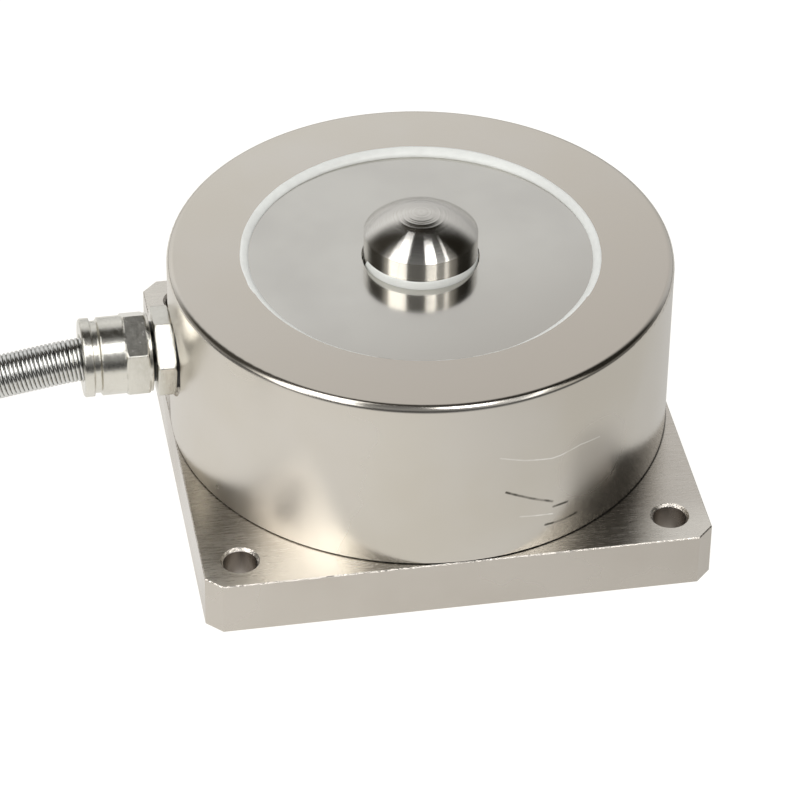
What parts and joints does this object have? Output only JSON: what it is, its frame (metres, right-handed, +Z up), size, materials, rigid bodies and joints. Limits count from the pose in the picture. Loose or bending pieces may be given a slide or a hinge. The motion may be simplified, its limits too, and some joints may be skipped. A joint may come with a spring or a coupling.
{
  "type": "low profile load cell",
  "caption": "Low, round steel compression load cell with a domed load button, on a square base plate with corner mounting holes, with a side cable gland, spring guard and coiled signal cable.",
  "frame": {"origin": "middle of the base plate's underside, at the centre of the mounting holes", "axes": "+Z up along the body's axis towards the load button; -X towards the cable gland; X and Y along the plate's sides"},
  "size_m": [0.2806, 0.1006, 0.0591],
  "materials": {
    "plate_steel": "satin nickel-plated steel, brushed",
    "body_steel": "fine-turned and polished nickel-plated steel",
    "cover_steel": "ground and polished stainless steel",
    "button_steel": "turned stainless steel",
    "screw_steel": "blackened alloy steel",
    "gland_nickel": "nickel-plated brass, polished",
    "guard_wire": "bright drawn spring wire",
    "white_sealant": "cured white silicone, semi-matt",
    "black_rubber": "moulded black rubber",
    "gauge_film": "amber polyimide film",
    "board_laminate": "green laminate",
    "harness_film": "flat film wiring",
    "core_insulation": "coloured insulation",
    "cable_jacket": "soft dark grey jacket",
    "tie_plastic": "woven black strap",
    "sleeve_plastic": "shrunk black sleeve"
  },
  "bodies": {
    "root": {"base_plate": "plate_steel", "plate_screws": "screw_steel", "plate_o_ring": "black_rubber", "sensing_body": "body_steel", "load_button": "button_steel", "top_cover": "cover_steel", "cover_seal": "white_sealant", "button_seal": "white_sealant", "bottom_cover": "cover_steel", "strain_gauges": "gauge_film", "bridge_board": "board_laminate", "gauge_harness": "harness_film", "entry_cores": "core_insulation", "gland_body": "gland_nickel", "gland_washer": "black_rubber", "gland_grommet": "black_rubber", "clamp_ring": "gland_nickel", "gland_nut": "gland_nickel", "cable_entry": "cable_jacket", "spring_guard": "guard_wire", "cable_run": "cable_jacket", "cable_coil": "cable_jacket", "coil_tie": "tie_plastic", "cable_tail": "cable_jacket", "end_sleeve": "sleeve_plastic", "end_cores": "core_insulation"}
  },
  "joints": []
}
